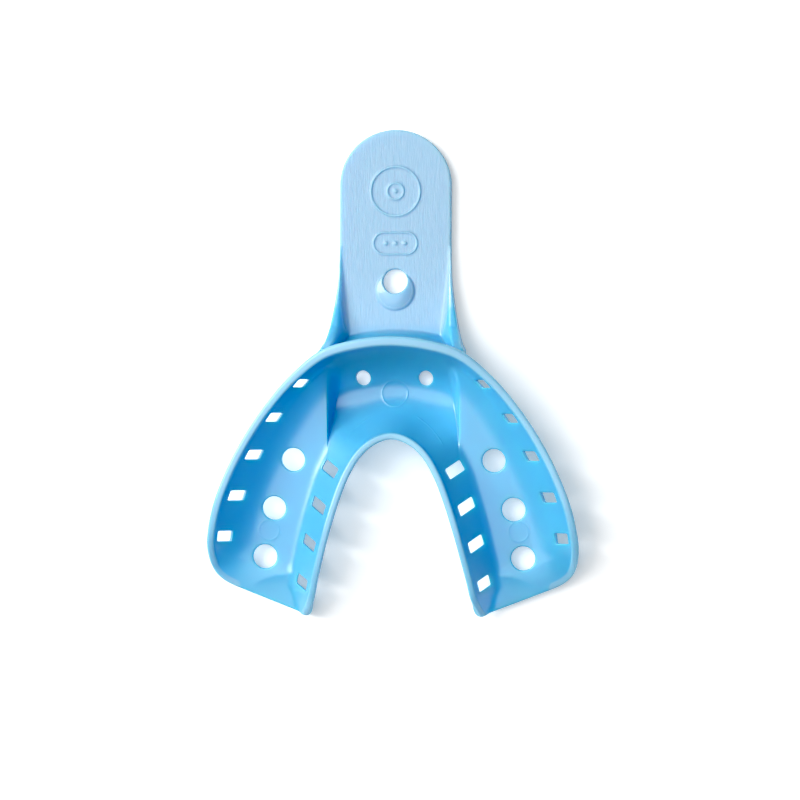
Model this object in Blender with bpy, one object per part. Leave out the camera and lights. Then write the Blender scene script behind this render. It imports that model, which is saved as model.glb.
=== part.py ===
"""Perforated lower-jaw impression tray: a horseshoe channel with a flat handle.

The real tray is one injection moulding. It is modelled here as its walls, floors, rims, ribs
and handle, each a closed solid of its own, with a hair gap where the moulding runs on.

Lengths below are in millimetres and are multiplied by MM when a mesh is made.
X runs across the arch, +Y points along the handle, and the tray stands on Z = 0.
"""

import math

import bmesh
import bpy
from mathutils import Vector

MM = 0.001

# Driving dimensions
THICKNESS = 1.5
GAP = 0.3
OVERALL_LENGTH = 87.0
HALF_LENGTH = OVERALL_LENGTH / 2

# Outer edge of the right arm, from the middle of the front to the rear corner.
# Each row: x, y, height of the rim, radius of the rim bead, width of the steep upper wall.
OUTER_EDGE = [
    (0.0, 6.4, 12.0, 0.90, 2.6),
    (6.4, 5.75, 11.9, 0.90, 2.6),
    (12.5, 3.8, 11.5, 0.85, 2.6),
    (18.1, -0.8, 10.8, 0.75, 2.8),
    (22.9, -6.5, 10.3, 0.70, 3.4),
    (26.7, -12.3, 10.0, 0.70, 3.8),
    (29.6, -18.0, 9.8, 0.70, 4.0),
    (31.8, -23.8, 9.2, 0.70, 4.1),
    (33.0, -29.6, 7.6, 0.70, 4.1),
    (32.9, -33.2, 5.2, 0.65, 4.1),
    (32.1, -35.6, 3.1, 0.60, 4.1),
    (30.6, -37.2, 1.9, 0.60, 4.1),
    (28.8, -38.2, 1.5, 0.60, 4.1),
]
# Tongue-side edge of the right arm, from the middle of the front to the rear tip.
# Each row: x, y, height of the rim, radius of the rim bead, slope and plan width of its wall.
LINGUAL_EDGE = [
    (0.0, -11.8, 9.0, 0.62, 1.68, 5.0),
    (3.0, -12.75, 9.2, 0.62, 1.50, 5.4),
    (5.6, -15.1, 9.5, 0.62, 0.90, 6.0),
    (7.7, -18.8, 9.8, 0.62, 0.98, 6.1),
    (9.3, -23.0, 9.8, 0.62, 1.12, 6.1),
    (10.8, -27.8, 9.5, 0.62, 1.20, 6.0),
    (12.1, -32.6, 8.6, 0.60, 1.15, 5.9),
    (13.2, -37.0, 7.4, 0.60, 1.02, 5.4),
    (14.0, -40.4, 6.0, 0.60, 1.00, 4.5),
    (15.5, -43.4, 3.0, 0.55, 0.85, 3.3),
]
GENTLE_WALL_WIDTH = 3.1
GENTLE_WALL_SHARE = 0.36
BEAD_END = 9.0
# Where the right arm's floor meets its outer wall and its tongue-side wall, front to rear
FLOOR_OUTER_EDGE = [
    (11.8, -3.2), (15.6, -7.6), (19.1, -13.15), (21.8, -18.4), (23.9, -23.5), (25.3, -28.7),
    (25.9, -34.0),
]
FLOOR_INNER_EDGE = [
    (11.8, -13.1), (13.4, -16.1), (15.2, -20.9), (16.7, -26.0), (17.9, -31.0), (18.6, -36.8),
    (18.6, -42.25),
]

# Floors
BAY_FLOOR = 1.5
BAY_EDGE_FRONT = (9.3, 2.0)
BAY_EDGE_REAR = (11.8, -13.2)
LABIAL_SLOPE = 2.07
LABIAL_FOOT = 6.4
ARM_FLOOR_AT = (-15.5, 4.5)
ARM_FLOOR_SLOPE = 0.105
REAR_EDGE_AT = (19.0, -42.1)
REAR_EDGE_SLOPE = 0.398
CREASE_AT = (18.6, -36.8)
CREASE_SLOPE = 0.386

# Holes in plan: centre x, centre y, radius
BAY_HOLE = (5.6, -0.86, 1.3)
FLOOR_HOLES = [(17.9, -15.5, 2.06), (21.4, -24.2, 2.10), (23.1, -32.9, 2.15)]
# Slots in plan: centre x, centre y, side across the wall, side along the edge
OUTER_SLOTS = [
    (16.1, -1.9, 1.6, 1.9), (20.95, -7.95, 1.9, 1.9), (24.6, -14.6, 2.3, 1.9), (27.7, -21.9, 2.5, 1.9),
    (30.0, -29.2, 2.3, 1.9),
]
OUTER_SLOT_ANGLE = 0.0
LINGUAL_SLOTS = [
    (11.07, -17.1, 3.0, 2.0), (13.1, -23.6, 2.9, 1.95), (14.8, -30.25, 2.75, 1.9), (16.2, -37.3, 2.3, 1.9),
]
LINGUAL_SLOT_ANGLE = math.radians(35)

# Handle
HANDLE_THICKNESS = 2.0
HANDLE_RADIUS = 10.0
HANDLE_TIP_CENTRE = HALF_LENGTH - HANDLE_RADIUS
RIB_START = 22.7
PLATE_END = 8.4
PLATE_END_HALF_WIDTH = 7.9
HANDLE_HOLE = (0.0, 16.4, 2.2)
GATE_BUTTON = (0.0, 14.8, 3.5)
GATE_BUTTON_HEIGHT = 0.45
RING = (0.0, 32.5, 4.4)
RING_WIDTH = 0.35
# Right rib: x and y of its inner foot, x and y of its outer face, height of its top
RIB_SECTIONS = [
    (9.75, 22.7, 10.0, 22.7, 2.15),
    (9.35, 17.0, 10.15, 17.0, 2.8),
    (8.75, 12.0, 10.75, 12.0, 3.6),
    (8.3, 8.4, 11.4, 8.2, 4.8),
    (8.3, 6.4, 12.0, 5.6, 7.2),
    (8.3, 5.5, 12.6, 4.3, 9.4),
    (8.3, 4.0, 12.1, 2.7, 5.6),
]
RIB_TOP_WIDTH = 1.5
# Front wall above the plate: distance out from the rim's outer edge, and height
ROOT_PROFILE = [(1.6, 0.0), (1.6, 2.0), (0.8, 2.8), (0.3, 4.2), (0.0, 6.2), (-0.15, 9.4)]
ROOT_BACK = [(-0.75, 8.7), (-1.5, 7.1), (-1.5, 0.0)]
ROOT_HALF_WIDTH = 7.8

PLASTIC = (0.24, 0.58, 0.86, 1.0)


def clear_scene():
    for obj in list(bpy.data.objects):
        bpy.data.objects.remove(obj, do_unlink=True)


def new_collection(name):
    collection = bpy.data.collections.new(name)
    bpy.context.scene.collection.children.link(collection)
    return collection


clear_scene()
TRAY = new_collection("impression_tray")
CUTTERS = new_collection("cutters")


def plastic(name):
    """Glossy pale-blue moulded plastic, one material for each sub-part."""
    material = bpy.data.materials.new(name + "_plastic")
    material.use_nodes = True
    shader = material.node_tree.nodes["Principled BSDF"]
    shader.inputs["Base Color"].default_value = PLASTIC
    shader.inputs["Roughness"].default_value = 0.3
    shader.inputs["Metallic"].default_value = 0.0
    return material


# Plan curves

def spline(rows, s):
    """Catmull-Rom through rows of a half edge; a negative s is the mirrored half."""
    side = -1 if s < 0 else 1
    s = min(abs(s), len(rows) - 1.0)
    i = min(int(s), len(rows) - 2)
    f = s - i
    starts_in_middle = rows[0][0] == 0.0

    def row(k):
        if k < 0 and starts_in_middle:
            return (-rows[-k][0],) + rows[-k][1:]
        return rows[min(max(k, 0), len(rows) - 1)]

    values = []
    for a, b, c, d in zip(row(i - 1), row(i), row(i + 1), row(i + 2)):
        values.append(
            b + 0.5 * f * (c - a + f * (2 * a - 5 * b + 4 * c - d + f * (3 * b - 3 * c + d - a)))
        )
    return (side * values[0], *values[1:])


def beside(rows, s, distance):
    """The plan point at a distance from an edge, positive towards the tongue."""
    step = 0.01
    ahead = spline(rows, s + step)
    behind = spline(rows, s - step)
    along = Vector((ahead[0] - behind[0], ahead[1] - behind[1])).normalized()
    at = spline(rows, s)
    return Vector((at[0], at[1])) + Vector((along.y, -along.x)) * distance


def direction(rows, s):
    """Unit plan vector along an edge."""
    return (beside(rows, s + 0.05, 0.0) - beside(rows, s - 0.05, 0.0)).normalized()


SAMPLES_PER_STATION = 40
SAMPLES = {}
for edge_name, edge in (("outer", OUTER_EDGE), ("lingual", LINGUAL_EDGE)):
    count = SAMPLES_PER_STATION * (len(edge) - 1)
    SAMPLES[edge_name] = [spline(edge, i / SAMPLES_PER_STATION) for i in range(count + 1)]


def nearest(edge_name, x, y):
    """The row of an edge at its point nearest to x, y on the right half, and the distance."""
    best = min(SAMPLES[edge_name], key=lambda row: (row[0] - x) ** 2 + (row[1] - y) ** 2)
    return best, math.hypot(best[0] - x, best[1] - y)


def station_where(reached, start=0.0):
    """The first station of an edge, in small steps, at which reached(station) is true."""
    s = start
    while not reached(s):
        s += 0.01
    return s


def station_at_x(rows, x):
    return station_where(lambda s: spline(rows, s)[0] >= x)


def station_at_y(rows, y):
    return station_where(lambda s: spline(rows, s)[1] <= y)


# Heights of the channel over the plan: every wall and floor is a plane, and the highest wins

def steepness(slope):
    return math.hypot(1.0, slope)


def crease_y(x):
    return CREASE_AT[1] + CREASE_SLOPE * (x - CREASE_AT[0])


def floor_height(x, y):
    """Height of the floor of one arm, which tips down to the rear edge behind the crease."""
    crease = crease_y(x)
    rear_edge = REAR_EDGE_AT[1] + REAR_EDGE_SLOPE * (x - REAR_EDGE_AT[0])
    arm = ARM_FLOOR_AT[1] + ARM_FLOOR_SLOPE * (max(y, crease) - ARM_FLOOR_AT[0])
    if y >= crease:
        return arm
    return BAY_FLOOR + (arm - BAY_FLOOR) * (y - rear_edge) / (crease - rear_edge)


def bay_edge_x(y):
    run = (BAY_EDGE_FRONT[1] - y) / (BAY_EDGE_FRONT[1] - BAY_EDGE_REAR[1])
    return BAY_EDGE_FRONT[0] + run * (BAY_EDGE_REAR[0] - BAY_EDGE_FRONT[0])


def bay_share(x, y, shift):
    """1 in the front bay, 0 on the arms, and in between on the bay's side walls."""
    near = min(bay_edge_x(y), BAY_EDGE_REAR[0] - 0.05) + shift
    far = BAY_EDGE_REAR[0] + shift
    return 1.0 - min(max((x - near) / (far - near), 0.0), 1.0)


def channel_height(x, y, depth):
    """Height of the surface that lies depth below the inside of the channel."""
    x = abs(x)
    outer, from_outer = nearest("outer", x, y)
    lingual, from_lingual = nearest("lingual", x, y)
    _, _, rim, bead_radius, steep_width = outer
    rim_middle = rim - bead_radius
    from_bead = from_outer - 2 * bead_radius
    floor = floor_height(x, y)
    rise = max(rim_middle - floor, 0.0)
    upper = rise * (1 - GENTLE_WALL_SHARE) / (steep_width - 2 * bead_radius)
    lower = rise * GENTLE_WALL_SHARE / GENTLE_WALL_WIDTH
    from_break = from_outer - steep_width
    arm = max(
        rim_middle - upper * from_bead - depth * steepness(upper),
        floor + rise * GENTLE_WALL_SHARE - lower * from_break - depth * steepness(lower),
        floor - depth,
    )
    bay = max(
        rim_middle - LABIAL_SLOPE * from_bead - depth * steepness(LABIAL_SLOPE),
        BAY_FLOOR - depth,
    )
    share = bay_share(x, y, 0.9 * depth)
    _, _, rim, bead_radius, slope, _ = lingual
    lingual_wall = rim - bead_radius - slope * (from_lingual - 2 * bead_radius)
    return max(arm + share * (bay - arm), lingual_wall - depth * steepness(slope))


def under_rim(x, y):
    """Height just under the nearby rim bead, where a wall stops, or a height above it all."""
    outer, from_outer = nearest("outer", abs(x), y)
    lingual, from_lingual = nearest("lingual", abs(x), y)
    bead_end = spline(OUTER_EDGE, BEAD_END + 0.1)
    if from_outer < 3.0:
        return outer[2] - 2 * outer[3] - GAP if outer[1] > bead_end[1] else outer[2]
    if from_lingual < 2.5:
        return lingual[2] - 2 * lingual[3] - GAP
    return OUTER_EDGE[0][2]


# Solids

def new_object(name, mesh, collection=TRAY):
    obj = bpy.data.objects.new(name, mesh)
    collection.objects.link(obj)
    if collection is TRAY:
        mesh.materials.clear()
        mesh.materials.append(plastic(name))
    else:
        obj.hide_render = True
        obj.display_type = "WIRE"
    return obj


def mesh_from(bm, name):
    bmesh.ops.recalc_face_normals(bm, faces=bm.faces)
    bmesh.ops.scale(bm, vec=(MM, MM, MM), verts=bm.verts)
    mesh = bpy.data.meshes.new(name)
    bm.to_mesh(mesh)
    bm.free()
    return mesh


def loft(name, sections, collection=TRAY):
    """A closed solid through sections, each a closed loop of the same number of points."""
    bm = bmesh.new()
    loops = [[bm.verts.new(point) for point in section] for section in sections]
    for first, second in zip(loops, loops[1:]):
        for i in range(len(first)):
            j = (i + 1) % len(first)
            bm.faces.new((first[i], first[j], second[j], second[i]))
    bm.faces.new(loops[0])
    bm.faces.new(list(reversed(loops[-1])))
    return new_object(name, mesh_from(bm, name), collection)


def channel_block(name, rows):
    """A piece of the channel's shell over rows of plan points."""
    sections = []
    for row in rows:
        top = [(p[0], p[1], min(channel_height(p[0], p[1], 0.0), under_rim(p[0], p[1])))
               for p in row]
        bottom = [(p[0], p[1], channel_height(p[0], p[1], THICKNESS)) for p in reversed(row)]
        sections.append(top + bottom)
    return loft(name, sections)


def spread(first, last, steps):
    return [first + (last - first) * i / steps for i in range(steps + 1)]


def ruled(start, end, steps):
    """Plan points on the straight line between two plan points."""
    return [Vector(start).lerp(Vector(end), i / steps) for i in range(steps + 1)]


def mirrored(points):
    return [Vector((-p[0], p[1])) for p in points]


def cylinder(name, centre_x, centre_y, radius, low, high):
    bm = bmesh.new()
    bmesh.ops.create_cone(bm, cap_ends=True, segments=24, radius1=radius, radius2=radius,
                          depth=high - low)
    bmesh.ops.translate(bm, vec=(centre_x, centre_y, (low + high) / 2), verts=bm.verts)
    return new_object(name, mesh_from(bm, name), CUTTERS)


def prism(name, outline, low, high):
    return loft(name, [[(p[0], p[1], z) for p in outline] for z in (low, high)], CUTTERS)


def boolean(obj, other, operation):
    modifier = obj.modifiers.new(other.name, "BOOLEAN")
    modifier.operation = operation
    modifier.object = other


def slot_cutter(name, centre, long_side, short_side):
    centre = Vector(centre)
    corners = [
        centre + long_side / 2 + short_side / 2,
        centre - long_side / 2 + short_side / 2,
        centre - long_side / 2 - short_side / 2,
        centre + long_side / 2 - short_side / 2,
    ]
    return prism(name, corners, -1.0, 14.0)


def wall_top(rows, s, towards):
    """The plan point nearest an edge where the wall under its bead is thick enough to stand."""
    distance = 0.1
    while True:
        x, y = beside(rows, s, towards * distance)
        if under_rim(x, y) - channel_height(x, y, THICKNESS) > 0.3:
            return Vector((x, y))
        distance += 0.05


def bead(name, rows, stations, side):
    """A rim bead: a tube whose centre runs one radius in from the edge."""
    curve = bpy.data.curves.new(name, "CURVE")
    curve.dimensions = "3D"
    curve.bevel_depth = MM
    curve.bevel_resolution = 2
    curve.use_fill_caps = True
    path = curve.splines.new("POLY")
    path.points.add(len(stations) - 1)
    towards = 1 if rows is OUTER_EDGE else -1
    for point, s in zip(path.points, stations):
        row = spline(rows, s)
        at = beside(rows, s, towards * row[3])
        point.co = (side * at.x * MM, at.y * MM, (row[2] - row[3]) * MM, 1)
        point.radius = row[3]
    obj = bpy.data.objects.new(name, curve)
    TRAY.objects.link(obj)
    curve.materials.append(plastic(name))
    return obj


BAY_X = BAY_EDGE_REAR[0] - GAP / 2
ARM_X = BAY_EDGE_REAR[0] + GAP / 2
FRONT_FOOT = LABIAL_FOOT + 0.3
LINGUAL_SPLIT = station_at_y(LINGUAL_EDGE, -16.2)
LINGUAL_END = len(LINGUAL_EDGE) - 1.05
STATION_GAP = 0.04
BAY_SIDE_Y = (-4.4, -9.6)
CREASE_STATION = 5.0
FLOOR_END = 6.0


def lingual_foot(s, extra=0.0):
    """Plan point where the tongue-side wall meets the floor."""
    return beside(LINGUAL_EDGE, s, -(spline(LINGUAL_EDGE, abs(s))[5] + extra))


def on_side(points, side):
    return points if side > 0 else mirrored(points)


def labial_flange():
    """Front wall of the channel, from one arm's start to the other's."""
    top_end = station_at_x(OUTER_EDGE, BAY_X)
    foot_end = station_where(lambda s: beside(OUTER_EDGE, s, FRONT_FOOT).x >= BAY_X)
    rows = []
    for f in spread(-1.0, 1.0, 26):
        top = wall_top(OUTER_EDGE, f * top_end, 1)
        foot = beside(OUTER_EDGE, f * foot_end, FRONT_FOOT)
        rows.append(ruled(top, foot, 7))
    return channel_block("labial_flange", rows)


def lingual_flange_front():
    """Tongue-side wall round the front of the arch."""
    end = LINGUAL_SPLIT - STATION_GAP
    rows = [ruled(wall_top(LINGUAL_EDGE, s, -1), lingual_foot(s), 6) for s in spread(-end, end, 20)]
    return channel_block("lingual_flange_front", rows)


def anterior_floor():
    """The bay's floor, between the front wall's foot and the tongue-side wall."""
    def front_at(s):
        return beside(OUTER_EDGE, s, FRONT_FOOT + GAP)

    front_end = station_where(lambda s: front_at(s).x >= bay_edge_x(front_at(s).y) - GAP / 2)
    rear_end = LINGUAL_SPLIT - 2 * STATION_GAP
    rows = [ruled(front_at(f * front_end), lingual_foot(f * rear_end, GAP), 8)
            for f in spread(-1.0, 1.0, 22)]
    return channel_block("anterior_floor", rows)


def bay_side_wall(name, side):
    """The step from the bay's floor up to an arm's floor."""
    rows = []
    for y in spread(BAY_SIDE_Y[0], BAY_SIDE_Y[1], 6):
        near = bay_edge_x(y) + GAP / 2
        rows.append([Vector((side * x, y)) for x in spread(near, BAY_X, 3)])
    return channel_block(name, rows)


def cut_slots(wall, side, edge, slots, angle):
    """Slots cut straight down, with two sides along the edge and two across the wall."""
    for number, (x, y, length, width) in enumerate(slots, 1):
        along = direction(edge, station_at_y(edge, y)) * width
        along.x *= side
        across = Vector((side * math.cos(angle), math.sin(angle))) * length
        cutter = slot_cutter(f"{wall.name}_slot_{number}", (side * x, y), across, along)
        boolean(wall, cutter, "DIFFERENCE")


def buccal_flange(name, side):
    """Outer wall of one arm, pierced by the retention slots."""
    top_start = station_at_x(OUTER_EDGE, ARM_X)
    top_end = station_where(
        lambda s: spline(OUTER_EDGE, s)[1] <= crease_y(spline(OUTER_EDGE, s)[0]) + GAP
    )
    foot_start = station_where(lambda s: beside(FLOOR_OUTER_EDGE, s, -GAP / 2).x >= ARM_X)
    rows = []
    for f in spread(0.0, 1.0, 26):
        top = wall_top(OUTER_EDGE, top_start + f * (top_end - top_start), 1)
        foot_s = foot_start + f * (FLOOR_END - foot_start)
        foot = beside(FLOOR_OUTER_EDGE, foot_s, -GAP / 2)
        rows.append(on_side(ruled(top, foot, 7), side))
    wall = channel_block(name, rows)
    cut_slots(wall, side, OUTER_EDGE, OUTER_SLOTS, OUTER_SLOT_ANGLE)
    return wall


def arm_floor(name, side):
    """Floor of one arm, from the bay's side wall to the crease before the rear flap."""
    outer_start = station_where(lambda s: beside(FLOOR_OUTER_EDGE, s, GAP / 2).x >= ARM_X)
    inner_start = station_where(lambda s: beside(FLOOR_INNER_EDGE, s, -GAP / 2).x >= ARM_X)
    rows = []
    for f in spread(0.0, 1.0, 18):
        outer_s = outer_start + f * (FLOOR_END - outer_start)
        inner_s = inner_start + f * (CREASE_STATION - inner_start)
        outer = beside(FLOOR_OUTER_EDGE, outer_s, GAP / 2)
        inner = beside(FLOOR_INNER_EDGE, inner_s, -GAP / 2)
        rows.append(on_side(ruled(outer, inner, 8), side))
    floor = channel_block(name, rows)
    for number, (x, y, radius) in enumerate(FLOOR_HOLES, 1):
        cutter = cylinder(f"{name}_hole_{number}", side * x, y, radius, -1.0, 14.0)
        boolean(floor, cutter, "DIFFERENCE")
    return floor


def lingual_flange(name, side):
    """Tongue-side wall of one arm, pierced by the retention slots."""
    rows = []
    for f in spread(0.0, 1.0, 28):
        s = LINGUAL_SPLIT + f * (LINGUAL_END - LINGUAL_SPLIT)
        foot = beside(FLOOR_INNER_EDGE, f * FLOOR_END, GAP / 2)
        rows.append(on_side(ruled(wall_top(LINGUAL_EDGE, s, -1), foot, 6), side))
    wall = channel_block(name, rows)
    cut_slots(wall, side, LINGUAL_EDGE, LINGUAL_SLOTS, LINGUAL_SLOT_ANGLE)
    return wall


def distal_flap(name, side):
    """The end of one arm behind the crease, down to the rear edge."""
    first = station_where(lambda s: spline(OUTER_EDGE, s)[1] <= crease_y(spline(OUTER_EDGE, s)[0]))
    last = len(OUTER_EDGE) - 1.0
    rows = []
    for f in spread(0.0, 1.0, 12):
        outer = wall_top(OUTER_EDGE, first + f * (last - first), 1)
        inner_s = CREASE_STATION + 0.05 + f * (FLOOR_END - CREASE_STATION - 0.05)
        inner = beside(FLOOR_INNER_EDGE, inner_s, -GAP / 2)
        rows.append(on_side(ruled(outer, inner, 8), side))
    return channel_block(name, rows)


def handle_plate():
    """Flat grip with a round tip, a hang hole, the gate's button and a plain raised ring."""
    outline = [(HANDLE_RADIUS * math.cos(a), HANDLE_TIP_CENTRE + HANDLE_RADIUS * math.sin(a))
               for a in spread(0.0, math.pi, 24)]
    shoulder = [(-RIB_SECTIONS[0][0] - 0.25, RIB_START + 0.1)]
    inner_foot = [(-row[0] + GAP, row[1]) for row in RIB_SECTIONS[:4]]
    end = [(-x, PLATE_END - 0.018 * x * x) for x in spread(PLATE_END_HALF_WIDTH, 0.0, 4)]
    left = shoulder + inner_foot[:3] + end
    right = [(-x, y) for x, y in reversed(left[:-1])]
    curve = bpy.data.curves.new("handle_plate", "CURVE")
    curve.dimensions = "2D"
    curve.fill_mode = "BOTH"
    curve.extrude = HANDLE_THICKNESS / 2 * MM
    path = curve.splines.new("POLY")
    path.use_cyclic_u = True
    points = outline + left + right
    path.points.add(len(points) - 1)
    for point, (x, y) in zip(path.points, points):
        point.co = (x * MM, y * MM, 0, 1)
    plate = as_mesh(bpy.data.objects.new("handle_plate", curve))
    plate.location.z = HANDLE_THICKNESS / 2 * MM
    top = HANDLE_THICKNESS
    x, y, radius = GATE_BUTTON
    boolean(plate, cylinder("gate_button", x, y, radius, 1.0, top + GATE_BUTTON_HEIGHT), "UNION")
    x, y, radius = RING
    ring = cylinder("size_ring", x, y, radius + RING_WIDTH / 2, 1.0, top + 0.25)
    inside = cylinder("size_ring_inside", x, y, radius - RING_WIDTH / 2, top, top + 1.0)
    boolean(plate, ring, "UNION")
    boolean(plate, inside, "DIFFERENCE")
    x, y, radius = HANDLE_HOLE
    boolean(plate, cylinder("handle_hole", x, y, radius, -1.0, 4.0), "DIFFERENCE")
    return plate


def as_mesh(obj):
    """A curve object made a mesh, with its caps welded, in the tray's collection."""
    TRAY.objects.link(obj)
    bpy.context.view_layer.update()
    graph = bpy.context.evaluated_depsgraph_get()
    mesh = bpy.data.meshes.new_from_object(obj.evaluated_get(graph))
    bm = bmesh.new()
    bm.from_mesh(mesh)
    bmesh.ops.remove_doubles(bm, verts=bm.verts, dist=0.00001)
    bm.to_mesh(mesh)
    bm.free()
    name = obj.name
    bpy.data.objects.remove(obj)
    return new_object(name, mesh)


def handle_rib(name, side):
    """A low rib along the handle's edge that climbs to the rim at the tray."""
    sections = []
    for inner_x, inner_y, outer_x, outer_y, height in RIB_SECTIONS:
        foot = Vector((inner_x, inner_y))
        face = Vector((outer_x, outer_y))
        width = (face - foot).length
        crest = face.lerp(foot, min(RIB_TOP_WIDTH / width, 0.5))
        low = min(HANDLE_THICKNESS, height - 0.1)
        points = [(foot, 0.0), (face, 0.0), (face, height), (crest, height), (foot, low)]
        sections.append([(side * p.x, p.y, z) for p, z in points])
    return loft(name, sections)


def handle_root_wall():
    """Front wall between the ribs, with a hollow below it and a soft foot on the plate."""
    end = station_at_x(OUTER_EDGE, ROOT_HALF_WIDTH)
    sections = []
    for s in spread(-end, end, 12):
        section = []
        for distance, z in ROOT_PROFILE + ROOT_BACK:
            at = beside(OUTER_EDGE, s, -distance)
            section.append((at.x, at.y, z))
        sections.append(section)
    return loft("handle_root_wall", sections)


def pierce_bay(floor, flange):
    """The two small round holes lie across the foot of the front wall."""
    for side, word in ((1, "right"), (-1, "left")):
        x, y, radius = BAY_HOLE
        cutter = cylinder(f"bay_hole_{word}", side * x, y, radius, -1.0, 14.0)
        boolean(floor, cutter, "DIFFERENCE")
        boolean(flange, cutter, "DIFFERENCE")


def rim_beads():
    front_end = station_at_x(OUTER_EDGE, BAY_X)
    bead("outer_rim_front", OUTER_EDGE, spread(-front_end, front_end, 20), 1)
    front_end = LINGUAL_SPLIT - STATION_GAP
    bead("lingual_rim_front", LINGUAL_EDGE, spread(-front_end, front_end, 20), 1)
    arm_start = station_at_x(OUTER_EDGE, ARM_X + 0.2)
    for side, word in ((1, "right"), (-1, "left")):
        bead(f"outer_rim_{word}", OUTER_EDGE, spread(arm_start, BEAD_END, 34), side)
        stations = spread(LINGUAL_SPLIT + STATION_GAP, LINGUAL_END, 24)
        bead(f"lingual_rim_{word}", LINGUAL_EDGE, stations, side)


def main():
    flange = labial_flange()
    floor = anterior_floor()
    pierce_bay(floor, flange)
    lingual_flange_front()
    for side, word in ((1, "right"), (-1, "left")):
        bay_side_wall(f"bay_side_wall_{word}", side)
        buccal_flange(f"buccal_flange_{word}", side)
        arm_floor(f"arm_floor_{word}", side)
        lingual_flange(f"lingual_flange_{word}", side)
        distal_flap(f"distal_flap_{word}", side)
        handle_rib(f"handle_rib_{word}", side)
    rim_beads()
    handle_plate()
    handle_root_wall()


main()
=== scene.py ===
"""Looks of the perforated lower-jaw impression tray: one seamless moulding in pale-blue plastic.

The tray was moulded between two halves that part along Z, so it is built here the same way:
a plan outline with its holes, an upper and a lower surface given as heights over that plan,
and straight walls between them. Every edge is rounded, and every wall meets its floor in a
fillet. Lengths are in millimetres until the mesh is written.
"""

import math

import bmesh
import bpy
import numpy as np
from mathutils import Matrix, Vector
from mathutils.geometry import delaunay_2d_cdt
from mathutils.kdtree import KDTree


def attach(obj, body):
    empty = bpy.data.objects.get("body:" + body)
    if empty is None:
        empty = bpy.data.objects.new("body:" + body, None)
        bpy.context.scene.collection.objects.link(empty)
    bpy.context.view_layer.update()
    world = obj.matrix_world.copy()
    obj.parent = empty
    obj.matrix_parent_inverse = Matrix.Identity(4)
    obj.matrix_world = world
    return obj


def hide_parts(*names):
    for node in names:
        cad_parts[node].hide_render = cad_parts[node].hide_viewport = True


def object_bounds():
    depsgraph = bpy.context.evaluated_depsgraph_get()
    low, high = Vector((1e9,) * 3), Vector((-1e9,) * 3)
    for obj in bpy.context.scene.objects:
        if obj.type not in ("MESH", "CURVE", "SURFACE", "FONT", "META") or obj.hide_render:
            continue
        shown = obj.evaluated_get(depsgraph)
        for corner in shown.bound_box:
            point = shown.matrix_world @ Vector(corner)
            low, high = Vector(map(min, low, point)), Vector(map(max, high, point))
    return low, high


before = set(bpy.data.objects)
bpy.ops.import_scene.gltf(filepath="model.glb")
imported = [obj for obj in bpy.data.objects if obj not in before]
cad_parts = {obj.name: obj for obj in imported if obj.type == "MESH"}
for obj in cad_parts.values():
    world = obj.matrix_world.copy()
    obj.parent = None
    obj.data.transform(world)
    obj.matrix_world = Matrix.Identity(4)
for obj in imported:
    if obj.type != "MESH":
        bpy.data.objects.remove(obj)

CAD_BOX = [list(corner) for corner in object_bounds()]
MM = 0.001
BOX_MARGIN = 1e-6

# The tray's dimensions: the CAD's, but for the gate button, the slots' lean and the raised marks

THICKNESS = 1.5
# Outer edge of the right arm: x, y, height of the rim, radius of its bead, width of the steep wall
OUTER_EDGE = [
    (0.0, 6.4, 12.0, 0.90, 2.6),
    (6.4, 5.75, 11.9, 0.90, 2.6),
    (12.5, 3.8, 11.5, 0.85, 2.6),
    (18.1, -0.8, 10.8, 0.75, 2.8),
    (22.9, -6.5, 10.3, 0.70, 3.4),
    (26.7, -12.3, 10.0, 0.70, 3.8),
    (29.6, -18.0, 9.8, 0.70, 4.0),
    (31.8, -23.8, 9.2, 0.70, 4.1),
    (33.0, -29.6, 7.6, 0.70, 4.1),
    (32.9, -33.2, 5.2, 0.65, 4.1),
    (32.1, -35.6, 3.1, 0.60, 4.1),
    (30.6, -37.2, 1.9, 0.60, 4.1),
    (28.8, -38.2, 1.5, 0.60, 4.1),
]
# The same edge as its wall sees it: straight on past the rear corner, so that the wall dies out evenly
WALL_EDGE = OUTER_EDGE[:9] + [
    (33.1, -33.5, 4.9, 0.65, 4.1),
    (32.8, -38.0, 2.6, 0.60, 4.1),
    (32.3, -44.0, 1.5, 0.60, 4.1),
]
# Tongue-side edge of the right arm: x, y, height of the rim, radius of its bead, wall's slope
LINGUAL_EDGE = [
    (0.0, -11.8, 9.0, 0.62, 1.68),
    (3.0, -12.75, 9.2, 0.62, 1.50),
    (5.6, -15.1, 9.5, 0.62, 0.90),
    (7.7, -18.8, 9.8, 0.62, 0.98),
    (9.3, -23.0, 9.8, 0.62, 1.12),
    (10.8, -27.8, 9.5, 0.62, 1.20),
    (12.1, -32.6, 8.6, 0.60, 1.15),
    (13.2, -37.0, 7.4, 0.60, 1.02),
    (14.0, -40.4, 6.0, 0.60, 1.00),
    (15.5, -43.4, 3.0, 0.55, 0.85),
]
GENTLE_WALL_WIDTH = 3.1
GENTLE_WALL_SHARE = 0.36

BAY_FLOOR = 1.5
BAY_EDGE_FRONT = (9.3, 2.0)
BAY_EDGE_REAR = (11.8, -13.2)
LABIAL_SLOPE = 2.07
ARM_FLOOR_AT = (-15.5, 4.5)
ARM_FLOOR_SLOPE = 0.105
REAR_EDGE_AT = (19.0, -42.1)
REAR_EDGE_SLOPE = 0.398
CREASE_AT = (18.6, -36.8)
CREASE_SLOPE = 0.386

# Holes: centre x, centre y, radius
BAY_HOLE = (5.6, -0.86, 1.3)
FLOOR_HOLES = [(17.9, -15.5, 2.06), (21.4, -24.2, 2.10), (23.1, -32.9, 2.15)]
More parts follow.
